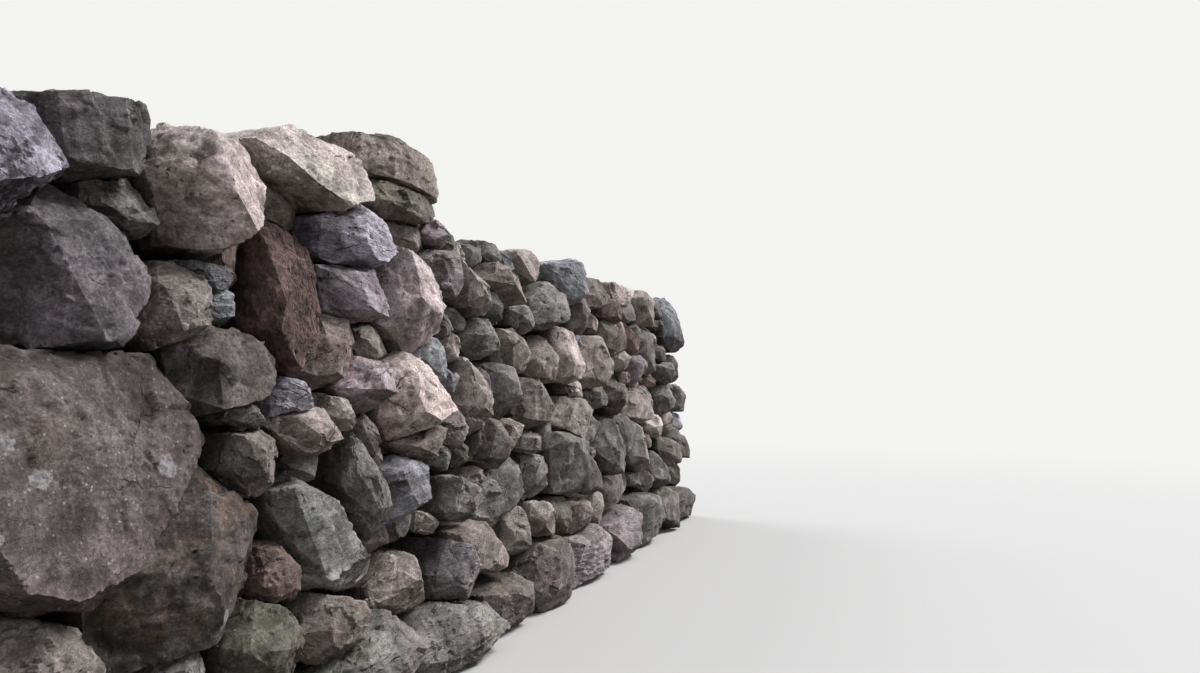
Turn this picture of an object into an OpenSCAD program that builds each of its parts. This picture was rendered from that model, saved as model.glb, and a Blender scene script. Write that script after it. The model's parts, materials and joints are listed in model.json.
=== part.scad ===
// Dry stone retaining wall: rubble stones fitted to each other in front of a packed core.
// Millimetres. The wall runs along X, its face looks towards -Y, and Z is up.
// The origin is on the ground, in the middle of the wall's length and thickness at the foot.

/* [Wall] */
// Length of the stretch of wall
wall_l = 6000; // [4000:100:8000]
// Height of the facing, without the stones that stand up over its top
wall_h = 1720; // [1500:20:2100]
// Thickness on the ground
foot_t = 800; // [740:10:1000]
// Thickness at the top
head_t = 680; // [600:10:730]
// Length of one bay, whose common stones share a node
bay_l = 1000; // [800:100:1500]

/* [Layers] */
// How far the face stones reach in from the face line to the hearting
face_d = 250; // [210:10:280]
// How far the back stones reach in
back_d = 180; // [150:10:200]
// How far the end stones reach in
end_d = 260; // [200:10:320]
// Thickness of the flat stones that cover the hearting
cover_t = 150; // [110:10:200]
// Clearance between two stones that bear on each other
bed_gap = 0.3; // [0.2:0.1:0.6]
// Widest open joint between the ends of two stones of a course
open_joint = 26; // [10:2:40]

/* [Stones] */
// Length of a footing stone
footing_l = 560; // [450:10:700]
// Height of a footing stone
footing_h = 280; // [230:10:340]
// How far the footing stands out of the face line
footing_out = 70; // [30:5:110]
// Length of the large stones that are set here and there in the face
large_l = 500; // [400:10:600]
// Height of a large stone
large_h = 320; // [260:10:380]
// Length of a common face stone
rubble_l = 260; // [230:10:420]
// Height of a common face stone
rubble_h = 210; // [170:5:260]
// Length of a small stone that is pinned into a hole of the face
pinning_l = 150; // [120:5:200]
// Height of a pinning
pinning_h = 110; // [90:5:150]
// How far pinnings are set back from the face line
pinned_in = 40; // [10:5:60]
// Length of a back stone
back_l = 470; // [400:10:650]
// Height of a back stone
back_h = 300; // [260:5:420]
// Length of a cover stone
cover_l = 380; // [320:10:560]
// Height of an end stone
end_h = 260; // [230:10:360]
// How deep the broken front of a large stone is, from its face in to its full outline
arris = 90; // [60:5:120]
// How far the boldest stone stands out of the face line
relief = 85; // [30:5:100]
// How much the face of a stone leans, for each millimetre across it
tilt = 0.16; // [0:0.02:0.3]
// How far a stone may grow into the room round it, as a multiple of its drawn size
slack = 1.15; // [1.1:0.05:1.3]
// Share by which the face of a stone draws in on its low side, where it overhangs its bed
undercut = 0.4; // [0:0.05:0.5]
// Smallest side of a stone that is worth setting
smallest = 60; // [50:5:90]

/* [Hidden] */
// How far the face leans back for each millimetre of height
lean = (foot_t - head_t) / wall_h;
// The hearting stops under the cover stones
core_h = wall_h - cover_t - bed_gap;
// An edge of an outline that is shorter than this is dropped
shortest_edge = smallest / 5;
// The stone schedule is drawn for this height, and follows the wall's own
drawn_h = 1720;
bays = max(1, round(wall_l / bay_l));

// Colours of the stones
GREY = 0;
TAN = 1;
RUST = 2;
SLATE = 3;
PALE = 4;
OLIVE = 5;
BROWN = 6;
MAUVE = 7;
tints = [
    [0.42, 0.40, 0.38], [0.56, 0.49, 0.42], [0.44, 0.32, 0.28], [0.36, 0.38, 0.42],
    [0.64, 0.58, 0.52], [0.39, 0.38, 0.31], [0.40, 0.35, 0.31], [0.50, 0.45, 0.45]
];

// Stones that can be told apart in the face, each a node of its own.
// Name, then along the wall, up, length, height, turn in degrees, how far it stands out, colour,
// then which ways the corners of its outline lie, drawn on its length and height as a box,
// then the corners and ridges of its front: the way they lie from its middle, how far towards its
// edge, and how far they stand out of its face.
landmark_stones = [
    ["speckled_end_stone", 135, 1520, 380, 300, 0, 75, GREY,
        [-120, -60, -5, 60, 125, 180],
        [[120, 0.9, -15], [55, 0.9, -10], [0, 0.93, 0], [-40, 0.6, 25], [-120, 0.5, 20],
         [180, 0.9, 0]]],
    ["dark_cap_block", 460, 1635, 320, 195, 10, 50, BROWN,
        [-140, -40, 45, 140],
        [[58, 0.9, 30], [-52, 0.88, 30], [215, 0.9, -20], [145, 0.92, -20], [20, 0.93, -35],
         [-25, 0.93, -35]]],
    ["tan_boulder", 750, 1552, 410, 345, 0, 95, TAN,
        [-125, -60, 10, 60, 100, 160],
        [[115, 0.85, 10], [205, 0.22, 40], [-61, 0.75, 35], [10, 0.93, -20], [60, 0.9, -35],
         [-25, 0.88, -5], [165, 0.85, -30]]],
    ["pale_cap_slab", 1255, 1730, 565, 230, -8, 75, PALE,
        [-175, -140, -95, -20, 30, 65, 112],
        [[112, 0.93, -65], [65, 0.94, -55], [28, 0.95, -25], [-20, 0.97, 10], [-90, 0.98, 30],
         [-140, 0.93, 5], [185, 0.92, -30]]],
    ["mossy_cap_stone", 1800, 1903, 490, 205, 0, 20, OLIVE,
        [-135, -40, 35, 95, 150],
        [[150, 0.9, -10], [90, 0.85, -25], [30, 0.92, -15], [-30, 0.9, 10], [-150, 0.9, 5],
         [60, 0.3, 20]]],
    ["blue_grey_stone", 1455, 1585, 355, 265, -12, 60, SLATE,
        [-140, -50, -5, 50, 100, 150],
        [[130, 0.55, 15], [95, 0.9, -25], [45, 0.93, -30], [-5, 0.95, -5], [-60, 0.75, 30],
         [-140, 0.4, 20], [150, 0.9, -35]]],
    ["grey_wedge_stone", 380, 1325, 450, 375, 0, 30, GREY,
        [-120, -50, -5, 45, 135, 170],
        [[122, 0.88, 20], [-105, 0.88, 25], [48, 0.92, -15], [0, 0.94, -20], [-45, 0.9, -5],
         [180, 0.3, 10]]],
    ["rust_upright_stone", 1125, 1320, 340, 490, -2, 40, RUST,
        [-135, -110, -45, 40, 85, 130],
        [[125, 0.92, -15], [85, 0.95, -30], [48, 0.95, -25], [-45, 0.95, -10], [-100, 0.97, 0],
         [195, 0.7, 20], [-135, 0.95, 5]]],
    ["mauve_stone", 1475, 1395, 390, 200, 10, 55, MAUVE,
        [-130, -40, 45, 140, 175],
        [[120, 0.7, 0], [48, 0.92, -20], [-42, 0.93, 0], [-125, 0.7, 30], [165, 0.4, 25]]],
    ["brown_flank_stone", 1760, 1375, 430, 335, -20, 60, TAN,
        [-130, -50, 0, 70, 135, 180],
        [[110, 0.9, 0], [60, 0.92, -20], [0, 0.93, -25], [-50, 0.9, -5], [-70, 0.45, 30],
         [165, 0.6, 20]]],
    ["grey_rounded_stone", 830, 1110, 350, 270, -3, 45, GREY,
        [-130, -50, 0, 50, 130],
        [[125, 0.85, -20], [50, 0.88, -25], [0, 0.92, -15], [-50, 0.88, 5], [-125, 0.8, 15],
         [170, 0.5, 15]]],
    ["rust_rough_stone", 1265, 1180, 330, 250, -10, 35, RUST,
        [-140, -60, -10, 60, 140],
        [[135, 0.85, -10], [55, 0.9, -25], [-10, 0.93, -5], [-60, 0.75, 25], [-140, 0.6, 25],
         [90, 0.3, 20]]],
    ["ledge_stone", 1430, 1075, 280, 190, -10, 75, MAUVE,
        [-150, -50, -10, 50, 145],
        [[130, 0.6, 5], [50, 0.92, -15], [-10, 0.93, -5], [-45, 0.6, 25], [-150, 0.3, 25]]],
    ["great_boulder", 390, 880, 650, 565, -5, 90, BROWN,
        [-120, -75, -25, 20, 60, 140, 175],
        [[135, 0.92, -20], [60, 0.92, -35], [15, 0.95, -15], [-28, 0.94, 10], [-75, 0.93, 20],
         [-120, 0.93, 15], [175, 0.95, 0]]],
    ["pink_tan_stone", 1720, 1015, 390, 350, -8, 75, TAN,
        [-130, -70, -20, 50, 120, 170],
        [[115, 0.9, -10], [50, 0.93, -25], [-20, 0.93, 0], [-70, 0.85, 20], [-135, 0.45, 30],
         [160, 0.6, 15]]],
    ["base_boulder", 705, 640, 545, 470, 18, 10, BROWN,
        [-135, -70, -30, 35, 85, 160],
        [[85, 0.92, -25], [35, 0.93, -25], [-30, 0.92, -5], [-80, 0.9, 15], [100, 0.35, 30],
         [-120, 0.5, 20], [165, 0.85, -50]]],
    ["pale_leaning_slab", 1235, 590, 540, 300, -42, 35, PALE,
        [-130, -40, 10, 60, 150],
        [[140, 0.93, -5], [60, 0.93, -20], [10, 0.94, -20], [-40, 0.93, -10], [-125, 0.9, 15],
         [170, 0.3, 20]]],
    ["long_grey_stone", 1440, 745, 370, 150, -60, 40, GREY,
        [-140, -40, 45, 140],
        [[45, 0.9, -15], [-40, 0.9, 0], [-135, 0.85, 10], [140, 0.85, -10], [90, 0.25, 20]]],
    ["dark_ledge_stone", 1660, 715, 360, 210, 4, 65, SLATE,
        [-140, -60, 20, 80, 150],
        [[150, 0.85, -10], [80, 0.92, -25], [20, 0.9, -10], [-55, 0.55, 25], [-140, 0.5, 25]]],
    ["tan_block", 2575, 1540, 310, 220, 4, 65, TAN,
        [-110, -35, 50, 140, 180],
        [[140, 0.9, -5], [50, 0.93, -20], [-35, 0.9, 5], [-110, 0.6, 25], [180, 0.5, 20]]],
    ["pink_stone", 3365, 1250, 400, 295, -8, 70, PALE,
        [-130, -45, 50, 130],
        [[115, 0.85, 5], [48, 0.93, -25], [-45, 0.93, 0], [-125, 0.7, 20], [165, 0.5, 20]]],
    ["orange_stone", 4210, 1550, 250, 170, 0, 65, RUST,
        [-135, -45, 50, 130],
        [[125, 0.85, -10], [50, 0.92, -15], [-40, 0.9, 5], [-140, 0.6, 20]]],
    ["pale_far_stone", 4675, 650, 385, 315, -12, 75, PALE,
        [-150, -70, -20, 60, 130],
        [[120, 0.7, 15], [60, 0.92, -25], [-20, 0.92, -20], [-70, 0.85, 15], [-150, 0.5, 25]]]
];

// Smaller stones that can be told apart, which share a node with the rest of their bay.
// Along the wall, up, length, height, turn, how far it stands out, colour.
lesser_stones = [
    [535, 1505, 190, 130, 0, 0, OLIVE], [925, 1440, 95, 190, 0, -70, RUST],
    [1175, 1610, 230, 150, 0, -60, OLIVE], [1760, 1750, 440, 145, 0, 40, OLIVE],
    [1830, 1645, 285, 115, -8, -10, BROWN], [670, 1280, 240, 190, 15, 50, TAN],
    [800, 1355, 140, 100, -20, 10, PALE], [860, 1285, 120, 110, 0, -30, SLATE],
    [905, 985, 150, 80, -10, 10, GREY], [1610, 1215, 145, 135, 0, -40, TAN],
    [1970, 1185, 305, 185, 5, 10, SLATE], [1065, 1035, 170, 130, 0, 40, PALE],
    [1120, 945, 275, 145, -20, 50, TAN], [1325, 990, 150, 100, -35, 20, PALE],
    [920, 870, 200, 180, 0, 30, TAN], [1285, 815, 190, 105, 0, -110, BROWN],
    [1515, 890, 90, 185, 10, -10, BROWN], [1795, 870, 330, 145, 0, 60, TAN],
    [2055, 915, 180, 210, 0, 30, MAUVE], [1025, 525, 160, 200, 10, 10, RUST],
    [215, 455, 465, 320, 8, 30, BROWN], [2100, 1525, 335, 205, 0, 40, MAUVE],
    [2275, 1490, 130, 290, 20, 50, PALE], [2510, 1450, 165, 175, 0, 20, GREY],
    [2835, 1415, 170, 150, 0, 30, OLIVE], [3180, 1500, 380, 230, 5, 60, OLIVE],
    [3645, 1480, 260, 240, -10, 50, MAUVE], [3940, 1635, 380, 175, 0, 30, BROWN],
    [3075, 1215, 290, 230, 0, 30, OLIVE], [2390, 1270, 305, 185, -5, 20, OLIVE],
    [2275, 1030, 210, 310, 0, 40, PALE], [2575, 1040, 230, 250, 0, 40, GREY],
    [2875, 980, 430, 245, -10, 60, OLIVE], [3440, 895, 490, 225, -5, 50, TAN],
    [3555, 1060, 235, 110, 0, 10, PALE], [2615, 830, 210, 170, 0, 20, TAN],
    [2810, 800, 245, 100, 0, 40, MAUVE], [4495, 1690, 335, 150, 0, 50, PALE],
    [4810, 930, 495, 245, 0, 40, TAN], [4080, 680, 390, 360, 0, 50, GREY],
    [5150, 775, 335, 165, 0, 40, PALE]
];

// A number from low to high that depends only on a stone's key and on which of its features it sets
function pick(key, feature, low, high) =
    let (v = sin(key * 127.1 + feature * 311.7) * 43758.5453)
    low + (high - low) * (v - floor(v));

// Parts of a stone's entry in a layer's list
function middle(stone) = [stone[0], stone[1]];
function size(stone) = [stone[2], stone[3]];
function turn(stone) = stone[4];
function stand_out(stone) = stone[5];
function tint(stone) = tints[stone[6]];
function key(stone) = stone[7];
function node_of(stone) = stone[8];
function front_of(stone) = is_undef(stone[9]) ? drawn_front(stone) : stone[9];

function unit(v) = v / norm(v);
function turned(p, angle) = [p.x * cos(angle) - p.y * sin(angle), p.x * sin(angle) + p.y * cos(angle)];

// The stone taken as an ellipse: which way its edge faces in the direction d, and how far off it is
function edge_normal(stone, d) =
    let (local = turned(d, -turn(stone)))
    turned([local.x / pow(stone[2] / 2, 2), local.y / pow(stone[3] / 2, 2)], turn(stone));
function reach(stone, d) = norm(d) / sqrt(edge_normal(stone, d) * d);

// The part of a convex outline on the low side of the line where normal * p = limit
function cut(outline, normal, limit) = [
    for (i = [0 : 1 : len(outline) - 1])
        let (
            a = outline[i],
            b = outline[(i + 1) % len(outline)],
            over_a = normal * a - limit,
            over_b = normal * b - limit
        )
        each concat(
            over_a <= 0 ? [a] : [],
            over_a * over_b < 0 ? [a + (b - a) * over_a / (over_a - over_b)] : []
        )
];

// The ways the corners of a stone's outline lie, for a stone that has none of its own
function drawn_corners(stone) =
    let (
        corners = floor(pick(key(stone), 1, 4, 6.3)),
        first = corners == 4 ? 45 : pick(key(stone), 2, 0, 360 / corners)
    )
    [for (i = [0 : corners - 1]) first + 360 / corners * i + pick(key(stone), i + 3, -14, 14)];

// The outline a stone has before it is fitted, its corners on the box of its length and height
function rough_outline(stone) = [
    for (angle = is_undef(stone[10]) ? drawn_corners(stone) : stone[10])
        let (on_box = [cos(angle), sin(angle)] / max(abs(cos(angle)), abs(sin(angle))))
        middle(stone) + turned([on_box.x * stone[2], on_box.y * stone[3]] * slack / 2, turn(stone))
];

// Stones bear on each other in their beds, and stand apart where they meet end to end
function joint(a, b, normal) =
    bed_gap + open_joint * max(0, 4 * abs(normal.x) - 3) * pick(key(a) + key(b), 21, 0, 1);

// Whether two stones are one and the same, or too far apart to meet
function apart(a, b) = key(a) == key(b) || norm(middle(b) - middle(a)) > norm(size(a) + size(b));

// The outline trimmed against each neighbour, along the one line that both of them are trimmed to
function fitted(outline, stone, others, i = 0) =
    i == len(others) ? outline
    : apart(stone, others[i]) ? fitted(outline, stone, others, i + 1)
    : let (
        d = middle(others[i]) - middle(stone),
        own = reach(stone, d),
        theirs = reach(others[i], d),
        normal = unit(unit(edge_normal(stone, d)) + unit(edge_normal(others[i], d))),
        meet = middle(stone) + d * own / (own + theirs)
    )
    fitted(
        cut(outline, normal, normal * meet - joint(stone, others[i], normal) / 2),
        stone, others, i + 1
    );

// The outline cut to the layer's borders, each a [normal, limit]
function bordered(outline, borders, i = 0) =
    i == len(borders) ? outline : bordered(cut(outline, borders[i][0], borders[i][1]), borders, i + 1);

// The outline without edges too short to be worked
function tidied(outline) = [
    for (i = [0 : 1 : len(outline) - 1])
        if (norm(outline[(i + 1) % len(outline)] - outline[i]) > shortest_edge) outline[i]
];

// Spread of an outline's points along one axis
function spread(outline, axis) =
    let (along = [for (p = outline) p[axis]]) max(along) - min(along);
function worth_setting(outline) =
    len(outline) >= 3 && min(spread(outline, 0), spread(outline, 1)) >= smallest;

function mean(points) = [for (i = [0 : 1]) [for (p = points) p[i]] * [for (p = points) 1] / len(points)];

// Stones of a rough bond over area [s, t, length, height], one to each pitch [length, height].
// A stone is as big as share of its pitch, give or take, and scatter sets how far it strays and
// turns. Those that would sit on a stone already placed are left out.
function bond(area, pitch, share, scatter, first_key, placed = []) =
    let (
        rows = max(1, round(area[3] / pitch[1])),
        columns = max(1, round(area[2] / pitch[0])),
        row_h = area[3] / rows,
        column_l = area[2] / columns
    )
    [
        for (row = [0 : rows - 1], column = [0 : columns - 1 + row % 2])
            let (
                id = first_key + row * 97 + column,
                along = column_l * (column + 0.5 - 0.5 * (row % 2) + pick(id, 1, -scatter, scatter)),
                stone = [
                    area[0] + min(area[2] * 0.99, max(area[2] * 0.01, along)),
                    area[1] + row_h * (row + 0.5 + pick(id, 2, -scatter, scatter)),
                    column_l * share * pick(id, 3, 0.75, 1.35),
                    row_h * share * pick(id, 4, 0.75, 1.35),
                    pick(id, 5, -70, 70) * scatter,
                    relief * pick(id, 6, -0.6, 1),
                    floor(pick(id, 7, 0, len(tints) - 0.01)),
                    id
                ]
            )
            if (is_clear(stone, placed)) stone
    ];
function is_clear(stone, placed) =
    len([
        for (other = placed)
            let (d = middle(stone) - middle(other))
            if (norm(d) < reach(other, d) + 0.5 * reach(stone, d)) 1
    ]) == 0;

// The same stones, each as stand_out takes it from its own
function set_out(stones, base, share) = [
    for (s = stones) [s[0], s[1], s[2], s[3], s[4], base + share * s[5], s[6], s[7]]
];

// A stone's entry with its size and place drawn for this wall's height
function scheduled(entry, id) =
    let (k = wall_h / drawn_h)
    [entry[0], entry[1] * k, entry[2], entry[3] * k, entry[4], entry[5], entry[6], id];
function with_shape(stone, front, outline) = concat(stone, [front, outline]);
function in_node(stone, name) = concat(stone, [name]);
function bay_node(stone) =
    str("face_stones_bay_", 1 + max(0, min(bays - 1, floor(stone[0] * bays / wall_l))));

// Face: the scheduled stones, the footing, then large, common and small stones where there is room
landmarks = [
    for (i = [0 : len(landmark_stones) - 1])
        let (entry = landmark_stones[i])
        with_shape(
            in_node(scheduled([for (k = [1 : 7]) entry[k]], 1000 + i), entry[0]), entry[9], entry[8]
        )
];
lessers = [for (i = [0 : len(lesser_stones) - 1]) scheduled(lesser_stones[i], 2000 + i)];
footings = set_out(
    bond([0, 0, wall_l, footing_h], [footing_l, footing_h], 1.05, 0.12, 3000, concat(landmarks, lessers)),
    footing_out, 0.5
);
scheduled_stones = concat(landmarks, lessers, footings);
field = [0, footing_h, wall_l, wall_h - footing_h];
larges = bond(field, [large_l, large_h] * 1.9, 0.5, 0.3, 4000, scheduled_stones);
commons = bond(field, [rubble_l, rubble_h], 1.05, 0.22, 5000, concat(scheduled_stones, larges));
pinnings = set_out(
    bond(field, [pinning_l, pinning_h], 0.9, 0.2, 20000, concat(scheduled_stones, larges, commons)),
    -pinned_in, 0.6
);
front_layer = concat(
    landmarks,
    [for (stone = footings) in_node(stone, "footing_stones")],
    [for (stone = concat(lessers, larges, commons, pinnings)) in_node(stone, bay_node(stone))]
);

back_lifts = ["back_stones_lower", "back_stones_middle", "back_stones_upper"];
back_layer = [
    for (stone = set_out(bond([0, 0, wall_l, wall_h], [back_l, back_h], 1.05, 0.16, 6000), 0, 0.5))
        in_node(stone, back_lifts[min(2, floor(stone[1] * 3 / wall_h))])
];

// The end stones close the hearting between the face and the back
function behind_face(z) = -foot_t / 2 + lean * z + face_d + bed_gap;
before_back = foot_t / 2 - back_d - bed_gap;
end_w = before_back - behind_face(0);
end_area = [behind_face(0), 0, end_w, wall_h];
function end_layer(first_key, name) = [
    for (s = set_out(bond(end_area, [end_w, end_h], 1.1, 0.12, first_key), 0, 0.4))
        in_node([s[0] + lean * s[1] / 2, s[1], s[2], s[3], s[4], s[5], s[6], s[7]], name)
];
near_layer = end_layer(7000, "near_end_stones");
far_layer = end_layer(8000, "far_end_stones");

// The cover stones bridge the hearting in one row
cover_w = before_back - behind_face(wall_h);
cover_layer = [
    for (s = set_out(
        bond([end_d, behind_face(wall_h), wall_l - 2 * end_d, cover_w], [cover_l, cover_w], 1.2, 0.1, 9000),
        0, 0.3
    ))
        in_node(s, "cover_stones")
];

ground = [[0, -1], 0];
length_borders = [[[-1, 0], 0], [[1, 0], wall_l], ground];
end_borders = [[[-1, lean], -behind_face(0)], [[1, 0], before_back], ground, [[0, 1], wall_h]];
cover_borders = [
    [[-1, 0], -end_d - bed_gap], [[1, 0], wall_l - end_d - bed_gap],
    [[0, -1], -behind_face(wall_h)], [[0, 1], before_back]
];

// Where a point of each layer is: s along it, t across it, and w in from its outer surface.
// The cover stones follow the lean of the face stones that they meet.
function on_front(p) = [p.x - wall_l / 2, -foot_t / 2 + lean * p.y + p.z, p.y];
function on_back(p) = [p.x - wall_l / 2, foot_t / 2 - p.z, p.y];
function on_near_end(p) = [-wall_l / 2 + p.z, p.x, p.y];
function on_far_end(p) = [wall_l / 2 - p.z, p.x, p.y];
function on_top(p) = [p.x - wall_l / 2, p.y - lean * p.z, wall_h - p.z];

// How far the outline's edge is from the heart, going the way of angle
function room(outline, heart, angle) =
    let (d = [cos(angle), sin(angle)])
    min([
        for (i = [0 : len(outline) - 1])
            let (
                side = outline[(i + 1) % len(outline)] - outline[i],
                normal = [side.y, -side.x]
            )
            if (normal * d > 0) normal * (outline[i] - heart) / (normal * d)
    ]);

// Corners for the front of a stone that has none of its own. It is drawn in towards one of its
// low sides, and a ridge stands out of it on the other.
function drawn_front(stone) =
    let (
        corners = floor(pick(key(stone), 51, 4, 6.5)),
        first = pick(key(stone), 52, 0, 360 / corners),
        low_side = pick(key(stone), 80, -190, -70),
        drawn_in = undercut * pick(key(stone), 81, 0.3, 1.4)
    )
    [
        for (i = [0 : corners - 1])
            let (angle = first + 360 / corners * i + pick(key(stone), 53 + i, -14, 14))
            [
                angle,
                pick(key(stone), 60 + i, 0.88, 0.98) * (1 - drawn_in * max(0, cos(angle - low_side))),
                -arris * pick(key(stone), 70 + i, -0.1, 0.3)
            ],
        [low_side + pick(key(stone), 82, 130, 230), pick(key(stone), 83, 0.05, 0.4), arris / 4]
    ];

// One stone: the corners of its front, then the full outline from the arris back to its tail
module stone(entry, layer, borders, depth, place) {
    outline = tidied(bordered(fitted(rough_outline(entry), entry, layer), borders));
    if (worth_setting(outline)) {
        heart = mean(outline);
        least = min(spread(outline, 0), spread(outline, 1));
        deepest = min(arris, least * 0.4);
        slope = tilt * [pick(key(entry), 31, -1, 1), pick(key(entry), 32, -0.5, 1.3)];
        front_w = -stand_out(entry);
        full_w = min(front_w + deepest * pick(key(entry), 33, 0.8, 1.2), depth * 0.7);
        points = concat(
            [
                for (c = front_of(entry))
                    let (p = room(outline, heart, c[0]) * c[1] * [cos(c[0]), sin(c[0])])
                    [heart.x + p.x, heart.y + p.y, front_w - c[2] * deepest / arris + slope * p]
            ],
            [for (p = outline) [p.x, p.y, full_w]],
            [for (p = outline) [p.x, p.y, depth]]
        );
        color(tint(entry))
            hull()
                polyhedron([for (p = points) place(p)], [[for (i = [0 : len(points) - 1]) i]]);
    }
}

module layer_stones(layer, name, borders, depth, place) {
    for (entry = layer)
        if (node_of(entry) == name) stone(entry, layer, borders, depth, place);
}

module front_stones(name) {
    layer_stones(front_layer, name, length_borders, face_d, function (p) on_front(p));
}

module back_stones(name) {
    borders = concat(length_borders, [[[0, 1], wall_h]]);
    layer_stones(back_layer, name, borders, back_d, function (p) on_back(p));
}

module near_end_stones() {
    layer_stones(near_layer, "near_end_stones", end_borders, end_d, function (p) on_near_end(p));
}

module far_end_stones() {
    layer_stones(far_layer, "far_end_stones", end_borders, end_d, function (p) on_far_end(p));
}

module cover_stones() {
    layer_stones(cover_layer, "cover_stones", cover_borders, cover_t, function (p) on_top(p));
}

// The packed core of small stone that the outer stones bear on
module hearting() {
    color([0.30, 0.27, 0.25])
        translate([-wall_l / 2 + end_d + bed_gap, 0, 0])
            rotate([90, 0, 90])
                linear_extrude(wall_l - 2 * (end_d + bed_gap))
                    polygon([
                        [behind_face(0), 0], [before_back, 0],
                        [before_back, core_h], [behind_face(core_h), core_h]
                    ]);
}

front_nodes = concat(
    [for (entry = landmark_stones) entry[0]],
    ["footing_stones"],
    [for (bay = [1 : bays]) str("face_stones_bay_", bay)]
);
other_nodes = ["near_end_stones", "far_end_stones", "cover_stones", "hearting"];

for (name = front_nodes)
    front_stones(name);
for (name = back_lifts)
    back_stones(name);
near_end_stones();
far_end_stones();
cover_stones();
hearting();
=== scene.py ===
# %% [markdown]
# # A dry stone retaining wall
#
# This is a wall of rubble: no mortar, no two stones alike, and every stone bearing on its
# neighbours. The frame that we load holds each stone as a plain convex solid in its right place.
# What is left to do is what a weathered stone is loved for: broken faces, worn arrises with a
# painted highlight, layers, lichen, and the dark of the joints, partly painted shade. All lengths
# are in metres.

# %% Load the frame
import json
import math
from typing import NamedTuple

import bmesh
import bpy
import numpy as np
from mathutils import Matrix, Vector


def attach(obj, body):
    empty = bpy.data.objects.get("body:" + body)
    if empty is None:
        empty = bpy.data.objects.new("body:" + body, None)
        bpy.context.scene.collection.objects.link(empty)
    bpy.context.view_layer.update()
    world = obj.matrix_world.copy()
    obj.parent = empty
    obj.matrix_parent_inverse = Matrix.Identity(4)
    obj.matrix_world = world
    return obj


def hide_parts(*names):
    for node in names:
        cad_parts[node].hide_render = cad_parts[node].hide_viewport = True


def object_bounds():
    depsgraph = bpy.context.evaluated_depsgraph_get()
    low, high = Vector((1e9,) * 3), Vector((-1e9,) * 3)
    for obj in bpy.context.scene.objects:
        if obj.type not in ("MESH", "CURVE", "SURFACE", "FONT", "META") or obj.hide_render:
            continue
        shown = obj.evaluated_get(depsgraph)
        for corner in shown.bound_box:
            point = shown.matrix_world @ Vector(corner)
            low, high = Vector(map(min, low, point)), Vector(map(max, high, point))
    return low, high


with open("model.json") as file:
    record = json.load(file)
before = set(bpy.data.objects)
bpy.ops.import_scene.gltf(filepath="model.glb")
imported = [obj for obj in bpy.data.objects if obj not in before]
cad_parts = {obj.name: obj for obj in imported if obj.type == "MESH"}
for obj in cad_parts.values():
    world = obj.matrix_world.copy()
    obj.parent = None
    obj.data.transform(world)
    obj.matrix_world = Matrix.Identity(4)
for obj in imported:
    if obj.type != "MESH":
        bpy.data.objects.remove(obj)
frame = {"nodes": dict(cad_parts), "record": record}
cad_low, cad_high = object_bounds()
nodes = frame["nodes"]
slot_of = {part["node"]: part["material_slot"] for part in frame["record"]["subparts"]}

# %% [markdown]
# ## Where the camera stands
#
# The lines of the wall run together at a point right of the middle, a little below it. That point
# and the width of the picture give the lens and the direction of view. The camera is made first,
# because it also tells which stones are near enough to deserve the finest mesh.

# %% Camera
PHOTO_WIDTH = 1200
FOCAL_PIXELS = 850.0
SENSOR_WIDTH = 36.0
EYE = Vector((-4.0, -1.975, 1.07))
YAW = math.radians(18.54)
PITCH = math.radians(3.35)


def placed(name, data):
    """A new object with this data, linked into the scene."""
    made = bpy.data.objects.new(name, data)
    bpy.context.scene.collection.objects.link(made)
    return made


lens = bpy.data.cameras.new("lens")
lens.sensor_width = SENSOR_WIDTH
lens.lens = FOCAL_PIXELS / PHOTO_WIDTH * SENSOR_WIDTH
camera = placed("camera", lens)
gaze = Vector((math.cos(YAW) * math.cos(PITCH), math.sin(YAW) * math.cos(PITCH), math.sin(PITCH)))
camera.location = EYE
camera.rotation_euler = gaze.to_track_quat("-Z", "Y").to_euler()
bpy.context.scene.camera = camera
print("lens", round(lens.lens, 1), "mm")

# %% [markdown]
# ## Reading the stones out of the frame
#
# One node often holds many stones that don't touch. We copy its mesh, weld the doubled corners,
# and walk from face to face to find each loose stone. A convex stone is fully told by its planes:
# a point is inside when it lies behind all of them. That is a handy form, because new broken faces
# are then just more planes.

# %% Loose stones of a node
WELD = 1e-5


def planes_of(faces):
    """Each flat of a convex stone once, as normal x, y, z and distance from the origin."""
    found = {}
    for face in faces:
        plane = np.array([*face.normal, face.normal.dot(face.verts[0].co)])
        found[tuple(np.round(plane, 3))] = plane
    return np.array([found[key] for key in sorted(found)])


def loose_stones(node):
    """The corners and planes of every stone in a node, in order along the wall."""
    welded = bmesh.new()
    welded.from_mesh(nodes[node].data)
    bmesh.ops.remove_doubles(welded, verts=welded.verts, dist=WELD)
    welded.faces.ensure_lookup_table()
    seen, stones = set(), []
    for first in welded.faces:
        if first in seen:
            continue
        seen.add(first)
        island = [first]
        for face in island:
            for edge in face.edges:
                for other in edge.link_faces:
                    if other not in seen:
                        seen.add(other)
                        island.append(other)
        corners = np.array(sorted({tuple(v.co) for face in island for v in face.verts}))
        stones.append((corners, planes_of(island)))
    welded.free()
    return sorted(stones, key=lambda stone: tuple(stone[0].mean(0)))


OUTWARD = {
    "back_stones": (0, 1, 0),
    "near_end": (-1, 0, 0),
    "far_end": (1, 0, 0),
    "cover": (0, 0, 1),
}


def outward_of(node):
    """The way a node's stones look out of the wall: towards the viewer, unless named otherwise."""
    for start, direction in OUTWARD.items():
        if node.startswith(start):
            return np.array(direction, float)
    return np.array([0.0, -1.0, 0.0])


stones_of = {node: loose_stones(node) for node in sorted(nodes) if node != "hearting"}
print(sum(len(stones) for stones in stones_of.values()), "stones in", len(stones_of), "nodes")

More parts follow.
